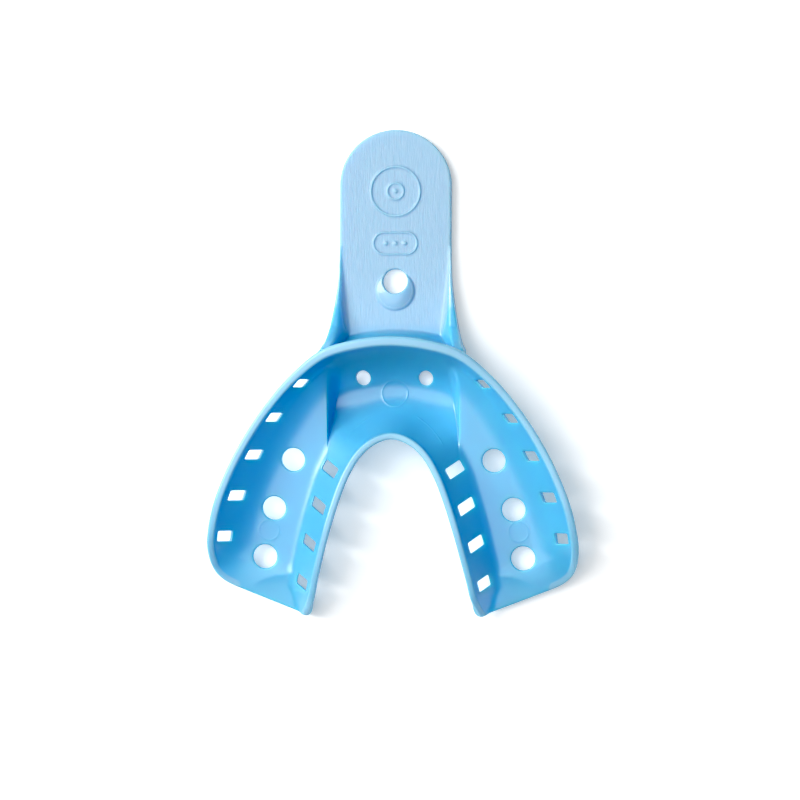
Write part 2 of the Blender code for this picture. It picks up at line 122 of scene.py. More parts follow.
# Slots: centre x, centre y, side across the wall, side along the edge
OUTER_SLOTS = [
    (16.1, -1.9, 1.6, 1.9), (20.95, -7.95, 1.9, 1.9), (24.6, -14.6, 2.3, 1.9), (27.7, -21.9, 2.5, 1.9),
    (30.0, -29.2, 2.3, 1.9),
]
OUTER_SLOT_ANGLE = 0.0
# How far a slot's lower end lies further out than its upper end
OUTER_SLOT_LEAN = 0.4
LINGUAL_SLOTS = [
    (11.07, -17.1, 3.0, 2.0), (13.1, -23.6, 2.9, 1.95), (14.8, -30.25, 2.75, 1.9), (16.2, -37.3, 2.3, 1.9),
]
LINGUAL_SLOT_ANGLE = math.radians(35)

HANDLE_THICKNESS = 2.0
HANDLE_RADIUS = 10.0
HANDLE_TIP_CENTRE = 33.5
HANDLE_HOLE = (0.0, 16.4, 2.2)
GATE_BUTTON = (0.0, 14.7, 3.45)
GATE_BUTTON_STEP = 0.28
GATE_BUTTON_DOME = 0.72

# Raised marks, all plain: rings as x, y, radius, half width, height
RINGS = [
    (0.0, 32.5, 4.4, 0.30, 0.20),
    (0.0, 32.5, 1.45, 0.28, 0.18),
    (0.0, -3.6, 2.3, 0.20, 0.06),
    (22.3, -28.1, 1.8, 0.16, 0.03),
    (-22.3, -28.1, 1.8, 0.16, 0.03),
]
PIPS = [(0.0, 32.5, 0.42, 0.16), (-1.7, 23.2, 0.42, 0.16), (0.0, 23.2, 0.42, 0.16), (1.7, 23.2, 0.42, 0.16)]
# Oval round the three pips: x, y, half length of its middle line, radius, half width, height
OVAL = (0.0, 23.2, 1.95, 1.95, 0.26, 0.18)
# Witness lines on the foot of the tongue-side wall: x at each end, distance from the edge there
WITNESS_LINE = (4.0, 9.2, 5.0, 4.15)
# Right rib: x and y of its inner foot, x and y of its outer face, height of its top
RIB_SECTIONS = [
    (9.75, 22.7, 10.0, 22.7, 2.15),
    (9.35, 17.0, 10.15, 17.0, 2.8),
    (8.75, 12.0, 10.75, 12.0, 3.6),
    (8.3, 8.4, 11.4, 8.2, 4.8),
    (8.3, 6.4, 12.0, 5.6, 7.2),
    (8.3, 5.5, 12.6, 4.3, 9.4),
]
RIB_TOP_WIDTH = 1.5
RIB_END_X = 12.75
# Where the outline runs straight along the handle before its right rib widens it
RIB_START = (10.0, 26.0)
# Fillet from the handle up to the front wall: its width and height
ROOT_FILLET = (1.6, 4.6)
ROOT_WALL_DEPTH = 1.5
ROOT_BACK_TOP = 7.1
ROOT_BACK_SLOPE = 1.5
# Tongue-side rear corner of the right arm: where its curve starts, its control point, where it ends
REAR_CORNER_START = (17.0, -42.81)
REAR_CORNER_CONTROL = (14.5, -44.6)
REAR_CORNER_END_Y = -40.9

# Roundings
OUTLINE_RADIUS = 0.3
HOLE_RADIUS = 0.22
UNDERSIDE_RADIUS = 0.18
FLOOR_FILLET = 0.9
UNDERSIDE_FILLET = 1.9
BAY_FILLET = 6.0
BAY_REAR_FILLET = 5.0
ROOT_BACK_FILLET = 0.8
BEAD_FILLET = 0.3
BEAD_SQUARENESS = 4.0
BEAD_FALL = 12
LINGUAL_BEAD_REACH = 2.5
NO_BEAD = -9.0

# Sampling: steps between points, and rows of points beside an edge as distances from it

EDGE_STEP = 0.32
LINGUAL_STEP = 0.28
GRID_STEP = 0.36
UNDERSIDE_GRID_STEP = GRID_STEP * 1.3
HOLE_RINGS = (0.01, 0.04, 0.09, 0.15, 0.22, 0.36)
OUTLINE_ROWS = (0.015, 0.06, 0.13, 0.21, 0.3, 0.45)
ROOT_ROWS = (0.0, -0.02, -0.06, -0.12, -0.2, -0.32, -0.5, -0.75, -1.0, -1.3, -1.6, -1.9)
ROOT_STEP_ROWS = (-0.08, -0.03, 0.0, 0.03, 0.08)
OUTER_ROWS_RADIUS = 0.72
LINGUAL_ROWS_RADIUS = 0.62
EDGE_TOLERANCE = 0.005
PLAN_HALF_WIDTH = 33.2
PLAN_HALF_LENGTH = 43.6


# Plan curves

def sampled_spline(rows, per_row=120, symmetric=True):
    """Catmull-Rom through rows; a symmetric one goes on as its own mirror image before x = 0."""
    rows = np.array(rows, float)
    before = rows[0].copy()
    if symmetric:
        before = rows[1].copy()
        before[0] *= -1
    rows = np.vstack([before, rows, rows[-1]])
    t = (np.arange(per_row) / per_row)[:, None]
    parts = []
    for a, b, c, d in zip(rows, rows[1:], rows[2:], rows[3:]):
        parts.append(b + 0.5 * t * (c - a + t * (2 * a - 5 * b + 4 * c - d + t * (3 * b - 3 * c + d - a))))
    parts.append(rows[-1:])
    return np.vstack(parts)


def even_steps(curve, step):
    """A polyline's points resampled at an even step."""
    length = np.concatenate([[0.0], np.cumsum(np.hypot(*np.diff(curve[:, :2], axis=0).T))])
    count = max(2, int(round(length[-1] / step)) + 1)
    at = np.linspace(0.0, length[-1], count)
    return np.stack([np.interp(at, length, column) for column in curve.T], axis=1)


def right_normals(curve):
    along = np.gradient(curve[:, :2], axis=0)
    along /= np.hypot(along[:, 0], along[:, 1])[:, None]
    return np.stack([along[:, 1], -along[:, 0]], axis=1)


def project(curve, points):
    """The curve's rows at the places nearest to points, and the distances, positive on its right."""
    starts = curve[:-1, :2]
    runs = curve[1:, :2] - starts
    rows = np.empty((len(points), curve.shape[1]))
    distances = np.empty(len(points))
    for first in range(0, len(points), 2000):
        p = points[first:first + 2000]
        gaps = (p[:, None, 0] - curve[None, :, 0]) ** 2 + (p[:, None, 1] - curve[None, :, 1]) ** 2
        nearest = gaps.argmin(axis=1)
        best = np.full(len(p), np.inf)
        for shift in (-1, 0):
            i = np.clip(nearest + shift, 0, len(runs) - 1)
            t = ((p - starts[i]) * runs[i]).sum(axis=1) / (runs[i] ** 2).sum(axis=1)
            t = np.clip(t, 0.0, 1.0)
            away = p - starts[i] - t[:, None] * runs[i]
            distance = np.hypot(away[:, 0], away[:, 1])
            side = away[:, 0] * runs[i][:, 1] - away[:, 1] * runs[i][:, 0]
            better = distance < best - 1e-9
            best = np.where(better, distance, best)
            here = curve[i] + t[:, None] * (curve[i + 1] - curve[i])
            where = np.arange(first, first + len(p))[better]
            rows[where] = here[better]
            distances[where] = np.where(side < 0, -distance, distance)[better]
    return rows, distances


OUTER = sampled_spline(OUTER_EDGE)
WALL = sampled_spline(WALL_EDGE)
LINGUAL = sampled_spline(LINGUAL_EDGE)


# Heights

def smooth_max(a, b, k):
    h = np.maximum(k - np.abs(a - b), 0.0) / k
    return np.maximum(a, b) + h * h * k / 4


def smooth_min(a, b, k):
    return -smooth_max(-a, -b, k)


def smooth_step(t):
    t = np.clip(t, 0.0, 1.0)
    return t * t * (3 - 2 * t)


def round_off(distance, radius):
    """How far a rounded edge lies below the flat, at a distance from the edge."""
    inside = np.clip(radius - distance, 0.0, radius)
    return radius - np.sqrt(radius * radius - inside * inside)


def steepness(slope):
    return np.hypot(1.0, slope)


class Place:
    """Plan points with their distances from the tray's edges, as if all were on the right half."""

    def __init__(self, points, hole_loops):
        self.signed_x = points[:, 0]
        self.x = np.abs(points[:, 0])
        self.y = points[:, 1]
        half = np.stack([self.x, self.y], axis=1)
        self.outer, from_outer = project(OUTER, half)
        self.on_handle = (from_outer < -EDGE_TOLERANCE) & (self.x < RIB_END_X)
        self.from_outer = np.where(self.on_handle, from_outer, np.maximum(from_outer, 0.0))
        self.wall, from_wall = project(WALL, half)
        self.from_wall = np.maximum(from_wall, 0.0)
        self.lingual, from_lingual = project(LINGUAL, half)
        self.from_lingual = -from_lingual
        _, self.from_outline = project(OUTLINE, half)
        self.from_hole = np.full(len(points), 99.0)
        for loop in hole_loops:
            low = loop.min(axis=0) - 1.0
            high = loop.max(axis=0) + 1.0
            near = np.flatnonzero(((points > low) & (points < high)).all(axis=1))
            if len(near):
                _, distance = project(np.vstack([loop, loop[:1]]), points[near])
                self.from_hole[near] = np.minimum(self.from_hole[near], distance)


def floor_height(at):
    """Height of the floor of an arm, which tips down to the rear edge behind the crease."""
    crease = CREASE_AT[1] + CREASE_SLOPE * (at.x - CREASE_AT[0])
    rear_edge = REAR_EDGE_AT[1] + REAR_EDGE_SLOPE * (at.x - REAR_EDGE_AT[0])
    arm = ARM_FLOOR_AT[1] + ARM_FLOOR_SLOPE * (at.y - ARM_FLOOR_AT[0])
    at_crease = ARM_FLOOR_AT[1] + ARM_FLOOR_SLOPE * (crease - ARM_FLOOR_AT[0])
    flap = BAY_FLOOR + (at_crease - BAY_FLOOR) * (at.y - rear_edge) / (crease - rear_edge)
    behind = smooth_step((crease + 0.2 - at.y) / 0.4)
    return arm + behind * (flap - arm)


def bay_edge_x(y):
    run = (BAY_EDGE_FRONT[1] - y) / (BAY_EDGE_FRONT[1] - BAY_EDGE_REAR[1])
    return BAY_EDGE_FRONT[0] + run * (BAY_EDGE_REAR[0] - BAY_EDGE_FRONT[0])


def bay_share(at, shift):
    """1 in the front bay, 0 on the arms, and in between on the bay's side walls."""
    near = np.minimum(bay_edge_x(at.y), BAY_EDGE_REAR[0] - 0.5) + shift
    far = BAY_EDGE_REAR[0] + shift
    return 1.0 - smooth_step((at.x - near) / (far - near))


def channel_height(at, depth, fillet):
    """Height of the surface that lies depth below the inside of the channel."""
    rim, bead_radius, steep_width = at.wall[:, 2:5].T
    rim_middle = rim - bead_radius
    from_bead = at.from_wall - 2 * bead_radius
    if depth == 0.0:
        from_bead = np.maximum(from_bead, 0.0)
    floor = floor_height(at)
    rise = np.maximum(rim_middle - floor, 0.0)
    upper = rise * (1 - GENTLE_WALL_SHARE) / (steep_width - 2 * bead_radius)
    lower = rise * GENTLE_WALL_SHARE / GENTLE_WALL_WIDTH
    from_break = at.from_wall - steep_width
    steep = rim_middle - upper * from_bead - depth * steepness(upper)
    gentle = floor + rise * GENTLE_WALL_SHARE - lower * from_break - depth * steepness(lower)
    if depth == 0.0:
        gentle = np.minimum(gentle, rim_middle)
    arm = smooth_max(smooth_max(steep, gentle, fillet), floor - depth, fillet)
    labial = rim_middle - LABIAL_SLOPE * from_bead - depth * steepness(LABIAL_SLOPE)
    bay = smooth_max(labial, BAY_FLOOR - depth, BAY_FILLET)
    share = bay_share(at, 0.9 * depth)
    rim, bead_radius, slope = at.lingual[:, 2:5].T
    from_bead = at.from_lingual - 2 * bead_radius
    if depth == 0.0:
        from_bead = np.maximum(from_bead, 0.0)
    wall = rim - bead_radius - slope * from_bead - depth * steepness(slope)
    return smooth_max(arm + share * (bay - arm), wall, fillet + share * (BAY_REAR_FILLET - fillet))


def bead_top(distance, rim, radius):
    """Top of a rim's bead, a little flatter than a round one."""
    across = np.clip(1 - np.abs(distance / radius - 1) ** BEAD_SQUARENESS, 0.0, None)
    past = np.maximum(distance - 2 * radius, 0.0)
    return rim - radius + radius * across ** (1 / BEAD_SQUARENESS) - BEAD_FALL * past


def bead_bottom(distance, rim, radius):
    across = np.clip(radius ** 2 - (np.minimum(distance, radius) - radius) ** 2, 0.0, None)
    return rim - radius - np.sqrt(across)


def rib_height(at):
    ribs = np.array(RIB_SECTIONS)[::-1]
    foot_x = np.interp(at.y, ribs[:, 1], ribs[:, 0])
    face_x = np.interp(at.y, ribs[:, 3], ribs[:, 2])
    top = np.interp(at.y, ribs[:, 3], ribs[:, 4])
    top = np.where(at.y > ribs[-1, 3], 0.0, top)
    crest_x = face_x - np.minimum(RIB_TOP_WIDTH, (face_x - foot_x) / 2)
    ramp = HANDLE_THICKNESS + (top - HANDLE_THICKNESS) * (at.x - foot_x) / (crest_x - foot_x)
    return smooth_min(ramp, top, 0.3)


def raised(distance, half_width, height):
    """Height of a raised line with soft sides, at a distance from its middle."""
    return height * smooth_step((half_width - np.abs(distance)) / (0.8 * half_width))


def relief(at):
    """The gate's button and the plain marks that stand on the surface."""
    from_button = np.hypot(at.signed_x - GATE_BUTTON[0], at.y - GATE_BUTTON[1]) / GATE_BUTTON[2]
    dome = GATE_BUTTON_DOME * np.clip(1 - from_button ** 2, 0.0, 1.0)
    height = dome + GATE_BUTTON_STEP * smooth_step((1 - from_button) * 9 + 0.5)
    for x, y, radius, half_width, rise in RINGS:
        height = height + raised(np.hypot(at.signed_x - x, at.y - y) - radius, half_width, rise)
    for x, y, radius, rise in PIPS:
        height = height + rise * smooth_step((radius - np.hypot(at.signed_x - x, at.y - y)) / 0.2)
    x, y, half_length, radius, half_width, rise = OVAL
    along = np.maximum(np.abs(at.signed_x - x) - half_length, 0.0)
    height = height + raised(np.hypot(along, at.y - y) - radius, half_width, rise)
    first_x, last_x, first_distance, last_distance = WITNESS_LINE
    along = (at.x - first_x) / (last_x - first_x)
    distance = at.from_lingual - first_distance - along * (last_distance - first_distance)
    ends = smooth_step(along * 8) * smooth_step((1 - along) * 8)
    return height + np.where(at.on_handle, 0.0, ends * raised(distance, 0.17, 0.06))


def handle_height(at):
    plate = np.full(len(at.x), HANDLE_THICKNESS)
    width, height = ROOT_FILLET
    inside = np.clip((width + at.from_outer) / width, 0.0, 1.0)
    root = HANDLE_THICKNESS + height * (1 - np.sqrt(1 - inside ** 2))
    return smooth_max(smooth_max(plate, rib_height(at), 0.5), root, 0.4)


def top_height(at):
    rim, radius = at.outer[:, 2:4].T
    channel = channel_height(at, 0.0, FLOOR_FILLET)
    body = np.where(at.on_handle, handle_height(at), channel)
    body = body + relief(at) - round_off(at.from_outline, OUTLINE_RADIUS)
    beads = np.where(at.on_handle, NO_BEAD, bead_top(at.from_outer, rim, radius))
    rim, radius = at.lingual[:, 2:4].T
    near_lingual = at.from_lingual < LINGUAL_BEAD_REACH
    lingual_bead = np.where(near_lingual, bead_top(at.from_lingual, rim, radius), NO_BEAD)
    beads = np.maximum(beads, lingual_bead)
    height = np.where(beads > NO_BEAD + 1, smooth_max(body, beads, BEAD_FILLET), body)
    return height - round_off(at.from_hole, HOLE_RADIUS)


def rim_highlight_mask(at):
    """1 on the rims' beads and 0 away from them: the mask of the paler highlight painted along the beads."""
    outer = smooth_step((2 * at.outer[:, 3] + 0.1 - at.from_outer) / 0.35)
    above_handle = (at.x < RIB_END_X) & (at.from_outer < 0.01)
    lingual = smooth_step((2 * at.lingual[:, 3] + 0.1 - at.from_lingual) / 0.35)
    return np.maximum(np.where(above_handle, 0.0, outer), lingual)


def bottom_height(at):
    rim, radius = at.outer[:, 2:4].T
    under = channel_height(at, THICKNESS, UNDERSIDE_FILLET)
    ceiling = ROOT_BACK_TOP + ROOT_BACK_SLOPE * (at.from_outer - ROOT_WALL_DEPTH)
    front = smooth_min(under, ceiling, ROOT_BACK_FILLET)
    under = np.where(at.x < RIB_END_X, front, under)
    low_bead = smooth_min(under, bead_bottom(at.from_outer, rim, radius), BEAD_FILLET)
    under = np.where(at.from_outer < 2 * radius, low_bead, under)
    rim, radius = at.lingual[:, 2:4].T
    low_bead = smooth_min(under, bead_bottom(at.from_lingual, rim, radius), BEAD_FILLET)
    under = np.where(at.from_lingual < 2 * radius, low_bead, under)
    solid = smooth_step((root_depth(at.x) - at.from_outer) / 0.06 + 0.5)
    under = under * (1 - solid)
    under = under + round_off(at.from_outline, UNDERSIDE_RADIUS)
    under = under + round_off(at.from_hole, UNDERSIDE_RADIUS)
    return np.maximum(under, 0.0)


def root_depth(x):
    """How far in from the outer edge the solid foot of the handle reaches."""
    return ROOT_WALL_DEPTH * np.clip((RIB_END_X - x) / 0.5, 0.0, 1.0) - 0.05


# Outline and holes

def circle_loop(x, y, radius, step=0.2):
    count = max(24, int(round(2 * math.pi * radius / step)))
    angles = np.linspace(0, 2 * math.pi, count, endpoint=False)
    return np.stack([x + radius * np.cos(angles), y + radius * np.sin(angles)], axis=1)


def rounded_loop(corners, radius=0.3, arc=6, step=0.22):
    """A closed outline, anticlockwise, with its corners rounded."""
    points = []
    for i, corner in enumerate(corners):
        before = corners[i - 1] - corner
        after = corners[(i + 1) % len(corners)] - corner
        start = corner + before * radius / np.hypot(*before)
        end = corner + after * radius / np.hypot(*after)
        for t in np.linspace(0, 1, arc):
            points.append((1 - t) ** 2 * start + 2 * t * (1 - t) * corner + t * t * end)
    closed = np.array(points + points[:1])
    loop = []
    for a, b in zip(closed, closed[1:]):
        count = max(1, int(round(np.hypot(*(b - a)) / step)))
        loop.extend(a + (b - a) * i / count for i in range(count))
    return np.array(loop)


def parallelogram(centre, long_side, short_side):
    """Corners, anticlockwise."""
    c, u, v = (np.array(item, float) for item in (centre, long_side, short_side))
    if u[0] * v[1] - u[1] * v[0] < 0:
        v = -v
    return [c - u / 2 - v / 2, c + u / 2 - v / 2, c + u / 2 + v / 2, c - u / 2 + v / 2]


def edge_direction(curve, y):
    i = int(np.argmin(np.abs(curve[:, 1] - y) + 9 * (curve[:, 0] < 3)))
    run = curve[min(i + 8, len(curve) - 1), :2] - curve[i - 8, :2]
    return run / np.hypot(*run)


def hole_loops(lean):
    """The outlines of all holes; lean is how far the outer slots' are moved outwards."""
    loops = [circle_loop(*HANDLE_HOLE)]
    for side in (1, -1):
        for x, y, radius in [BAY_HOLE] + FLOOR_HOLES:
            loops.append(circle_loop(side * x, y, radius))
        mirror = np.array((side, 1.0))
        rows = [(OUTER, OUTER_SLOT_ANGLE, lean, slot) for slot in OUTER_SLOTS]
        rows += [(LINGUAL, LINGUAL_SLOT_ANGLE, 0.0, slot) for slot in LINGUAL_SLOTS]
        for edge, angle, shift, (x, y, length, width) in rows:
            long_side = np.array((math.cos(angle), math.sin(angle))) * length
            short_side = edge_direction(edge, y) * width
            centre = (side * (x + shift), y)
            loops.append(rounded_loop(parallelogram(centre, long_side * mirror, short_side * mirror)))
    return loops


def outline_half():
    """The right half of the tray's outline, clockwise from the handle's tip to the tongue space."""
    angles = np.linspace(math.pi / 2, 0, 60)
    tip = HANDLE_RADIUS * np.stack([np.cos(angles), np.sin(angles)], axis=1) + (0.0, HANDLE_TIP_CENTRE)
    outer = OUTER[:, :2]
    start = int(np.argmax(outer[:, 0] >= RIB_END_X))
    rib = [(row[2], row[3]) for row in RIB_SECTIONS] + [tuple(outer[start])]
    rib = sampled_spline([RIB_START] + rib, 48, symmetric=False)[24:]
    outer = outer[start + 1:]
    corner_start = np.array(REAR_CORNER_START)
    control = np.array(REAR_CORNER_CONTROL)
    lingual = LINGUAL[LINGUAL[:, 1] > REAR_CORNER_END_Y][::-1, :2]
    t = np.linspace(0, 1, 16)[1:-1, None]
    corner = (1 - t) ** 2 * corner_start + 2 * t * (1 - t) * control + t * t * lingual[0]
    return np.vstack([tip, rib, outer, corner_start[None], corner, lingual])


OUTLINE = outline_half()
TOP_HOLES = hole_loops(0.0)
BOTTOM_HOLES = hole_loops(OUTER_SLOT_LEAN)


# Sheets of triangles over the plan

def mirrored(points):
    return np.vstack([points, points * (-1, 1)])


def rows_beside(curve, distances, step=EDGE_STEP):
    """Points in rows beside a half edge, and their mirror images."""
    even = even_steps(curve, step)
    normals = right_normals(even)
    points = np.vstack([even[:, :2] + normals * d for d in distances])
    return mirrored(points)


def bead_rows(radius):
    angles = np.radians(np.arange(12, 180, 14))
    return list(radius * (1 - np.cos(angles))) + [2 * radius + d for d in (0.0, 0.1, 0.25, 0.45, 0.7)]


def hole_rings(loops, distances):
    rings = []
    for loop in loops:
        normals = right_normals(np.vstack([loop[-1:], loop, loop[:1]]))[1:-1]
        for d in distances:
            rings.append(loop + normals * d)
    return np.vstack(rings)


def circle_rings(x, y, radius, offsets, step=0.22):
    return np.vstack([circle_loop(x, y, radius + offset, step) for offset in offsets])


def mark_points():
    """Points close enough together to carry the raised marks."""
    across = np.linspace(-1.15, 1.15, 9)
    sets = [circle_rings(x, y, radius, across * half_width) for x, y, radius, half_width, _ in RINGS]
    sets += [circle_rings(x, y, radius, (-0.3, -0.2, -0.1, 0.0), 0.12) for x, y, radius, _ in PIPS]
    sets.append(circle_rings(*GATE_BUTTON, np.arange(-0.35, 0.36, 0.07)))
    x, y, half_length, radius, half_width, _ = OVAL
    flat = np.arange(-half_length, half_length, 0.2)
    for offset in across * half_width:
        round_end = circle_loop(0.0, 0.0, radius + offset)
        sets.append(round_end + np.sign(round_end[:, :1]) * (half_length, 0.0) + (x, y))
        sets += [np.stack([flat + x, np.full(len(flat), y + s * (radius + offset))], axis=1) for s in (1, -1)]
    return np.vstack(sets)


def witness_rows():
    first_x, last_x, first_distance, last_distance = WITNESS_LINE
    even = even_steps(LINGUAL[LINGUAL[:, 0] < 8.0], 0.16)
    normals = right_normals(even)
    sets = []
    for offset in np.linspace(-0.2, 0.2, 9):
        points = even[:, :2]
        for _ in range(3):
            along = (points[:, :1] - first_x) / (last_x - first_x)
            distance = first_distance + along * (last_distance - first_distance) + offset
            points = even[:, :2] - normals * distance
        sets.append(points)
    return mirrored(np.vstack(sets))


def plan_grid(step):
    columns = np.arange(-PLAN_HALF_WIDTH, PLAN_HALF_WIDTH, step)
    lines = np.arange(-PLAN_HALF_LENGTH, PLAN_HALF_LENGTH, step * 0.9)
    x, y = np.meshgrid(columns, lines)
    x = x + step / 2 * (np.arange(len(lines)) % 2)[:, None]
    return np.stack([x.ravel(), y.ravel()], axis=1)


def bay_side_rows():
    points = []
    for y in np.arange(-15.0, 3.0, 0.3):
        near = min(bay_edge_x(y), BAY_EDGE_REAR[0] - 0.5)
        for t in np.linspace(-0.15, 1.15, 9):
            points.append((near + t * (BAY_EDGE_REAR[0] - near), y))
    return mirrored(np.array(points))


def root_step_rows():
    even = even_steps(OUTER[OUTER[:, 0] < RIB_END_X], 0.3)
    normals = right_normals(even)
    rows = [even[:, :2] + normals * (root_depth(even[:, 0]) + d)[:, None] for d in ROOT_STEP_ROWS]
    return mirrored(np.vstack(rows))


def outline_loop():
    half = even_steps(OUTLINE, EDGE_STEP)
    other = half[::-1][1:-1] * (-1, 1)
    return np.vstack([half, other])


def thinned(kept, candidates, gap):
    """Candidates that lie inside the plan and no nearer than gap to the kept points."""
    tree = KDTree(len(kept))
    for i, p in enumerate(kept):
        tree.insert((p[0], p[1], 0.0), i)
    tree.balance()
    half = np.stack([np.abs(candidates[:, 0]), candidates[:, 1]], axis=1)
    _, inside = project(OUTLINE, half)
    candidates = candidates[inside > 0.012]
    far = [tree.find((p[0], p[1], 0.0))[2] > gap for p in candidates]
    return candidates[np.array(far, bool)]


def inside_polygon(points, loop):
    inside = np.zeros(len(points), bool)
    x, y = points.T
    for (x1, y1), (x2, y2) in zip(loop, np.roll(loop, -1, axis=0)):
        if y1 == y2:
            continue
        crosses = (y1 > y) != (y2 > y)
        inside ^= crosses & (x < (x2 - x1) * (y - y1) / (y2 - y1) + x1)
    return inside


def triangulate(loops, sets):
    """Plan points and triangles over the outline less its holes, loops first."""
    points = np.vstack(loops)
    edges = []
    first = 0
    for loop in loops:
        count = len(loop)
        edges.extend((first + i, first + (i + 1) % count) for i in range(count))
        first += count
    for candidates, gap in sets:
        points = np.vstack([points, thinned(points, candidates, gap)])
    result = delaunay_2d_cdt([Vector(p) for p in points], edges, [], 0, 1e-6, True)
    vertices = np.array([(v.x, v.y) for v in result[0]])
    faces = np.array([face for face in result[2] if len(face) == 3])
    of_input = {}
    for i, originals in enumerate(result[3]):
        for original in originals:
            of_input[original] = i
    middles = vertices[faces].mean(axis=1)
    keep = inside_polygon(middles, loops[0])
    for loop in loops[1:]:
        near = np.flatnonzero(((middles > loop.min(axis=0)) & (middles < loop.max(axis=0))).all(axis=1))
        keep[near[inside_polygon(middles[near], loop)]] = False
    faces = faces[keep]
    a, b, c = (vertices[faces[:, i]] for i in range(3))
    area = (b - a)[:, 0] * (c - a)[:, 1] - (b - a)[:, 1] * (c - a)[:, 0]
    faces[area < 0] = faces[area < 0][:, ::-1]
    return vertices, faces, [of_input[i] for i in range(first)]


def moulding_mesh():
    """Upper and lower sheets with a strip of wall between them round the outline and every hole.

    Each set of points comes with the least gap that it keeps from the points before it.
    """
    outline = outline_loop()
    outer_rows = rows_beside(OUTER, bead_rows(OUTER_ROWS_RADIUS))
    front = OUTER[OUTER[:, 0] < RIB_END_X + 0.3]
    root_rows = rows_beside(front, ROOT_ROWS)
    outline_rows = rows_beside(OUTLINE, OUTLINE_ROWS)
    lingual_rows = rows_beside(LINGUAL, [-d for d in bead_rows(LINGUAL_ROWS_RADIUS)], LINGUAL_STEP)
    top_plan, top_faces, top_loop = triangulate([outline] + TOP_HOLES, [
        (hole_rings(TOP_HOLES, HOLE_RINGS), 0.008),
        (root_rows, 0.012),
        (outer_rows, 0.04),
        (lingual_rows, 0.04),
        (outline_rows, 0.04),
        (mark_points(), 0.04),
        (witness_rows(), 0.035),
        (bay_side_rows(), 0.05),
        (plan_grid(GRID_STEP), 0.2),
    ])
    bottom_plan, bottom_faces, bottom_loop = triangulate([outline] + BOTTOM_HOLES, [
        (hole_rings(BOTTOM_HOLES, HOLE_RINGS), 0.008),
        (root_step_rows(), 0.012),
        (outer_rows, 0.05),
        (lingual_rows, 0.05),
        (outline_rows, 0.05),
        (plan_grid(UNDERSIDE_GRID_STEP), 0.25),
    ])
    place = Place(top_plan, TOP_HOLES)
    top = np.column_stack([top_plan, top_height(place)])
    bottom = np.column_stack([bottom_plan, bottom_height(Place(bottom_plan, BOTTOM_HOLES))])
    shift = len(top)
    low_loop = [i + shift for i in bottom_loop]
    faces = top_faces.tolist() + (bottom_faces[:, ::-1] + shift).tolist()
    first = 0
    for loop in [outline] + TOP_HOLES:
        count = len(loop)
        for i in range(count):
            here, after = first + i, first + (i + 1) % count
            faces.append((top_loop[here], top_loop[after], low_loop[after], low_loop[here]))
        first += count
    vertices = np.vstack([top, bottom]) * MM
    low, high = (np.array(corner) for corner in CAD_BOX)
    vertices = np.clip(vertices, low + BOX_MARGIN, high - BOX_MARGIN)
    mesh = bpy.data.meshes.new("tray_moulding")
    mesh.from_pydata(vertices.tolist(), [], faces)
    # The rim attribute marks the beads, where the material paints a paler highlight.
    rim = np.concatenate([rim_highlight_mask(place), np.zeros(len(bottom))])
    mesh.attributes.new("rim", "FLOAT", "POINT").data.foreach_set("value", rim.astype(np.float32))
    return mesh


def build_tray():
    mesh = moulding_mesh()
    bm = bmesh.new()
    bm.from_mesh(mesh)
    bmesh.ops.delete(bm, geom=[v for v in bm.verts if not v.link_faces], context="VERTS")
    bmesh.ops.recalc_face_normals(bm, faces=bm.faces)
    bm.to_mesh(mesh)
    bm.free()
    mesh.shade_smooth()
    tray = bpy.data.objects.new("tray_moulding", mesh)
    bpy.context.scene.collection.objects.link(tray)
    return tray


# Material

BASE_DEEP = (0.0, 0.41, 0.71, 1.0)
BASE_LIGHT = (0.0, 0.44, 0.73, 1.0)
BASE_HANDLE = (0.08, 0.40, 0.70, 1.0)
CHANNEL_ROUGHNESS = (0.30, 0.40)
HANDLE_ROUGHNESS = (0.36, 0.60)
BUTTON_ROUGHNESS = 0.14
IOR = 1.59
SPECULAR = 1.0
SUBSURFACE_RADIUS = (0.1, 1.0, 1.1)
SUBSURFACE_SCALE = 0.003
# The pale bloom that scattered light puts on the surface: its colours in the handle's streaks and
# elsewhere, and its share in the channel, on the rims and on the handle. The larger share on the rims' beads
# is a painted highlight along them.
BLOOM_LOW = (0.40, 0.58, 0.62, 1.0)
BLOOM_HIGH = (0.90, 0.94, 0.88, 1.0)
BLOOM_EVEN = (0.78, 0.82, 0.78, 1.0)
BLOOM_AND_RIM_HIGHLIGHT_SHARES = (0.11, 0.29, 0.38)
# Textures: size and detail of the noise, and how deep its bumps are
BRUSH_STRETCH = (9.0, 1.0, 1.0)
BRUSH_NOISE = (380.0, 4.0, 0.65)
PEEL_NOISE = (900.0, 3.0, 0.5)
FLOW_NOISE = (110.0, 3.0, 0.55)
NOISE_RANGE = (0.3, 0.7)
SATIN_BUMP = 0.9
SATIN_DEPTH = 0.00008
PEEL_BUMP = 0.08
PEEL_DEPTH = 0.00004
# In metres: where along Y the handle's finish begins, up to what height the plastic is pale there,
# and up to what height it is brushed
HANDLE_FROM = (0.0066, 0.0090)
PALE_BELOW = (0.0038, 0.0024)
BRUSHED_BELOW = (0.0027, 0.0023)


def noise(tree, vector, scale, detail, roughness):
    node = tree.nodes.new("ShaderNodeTexNoise")
    node.inputs["Scale"].default_value = scale
    node.inputs["Detail"].default_value = detail
    node.inputs["Roughness"].default_value = roughness
    tree.links.new(vector, node.inputs["Vector"])
    return node.outputs["Fac"]


def map_range(tree, value, from_range, to_range):
    node = tree.nodes.new("ShaderNodeMapRange")
    node.inputs["From Min"].default_value, node.inputs["From Max"].default_value = from_range
    node.inputs["To Min"].default_value, node.inputs["To Max"].default_value = to_range
    tree.links.new(value, node.inputs["Value"])
    return node.outputs["Result"]


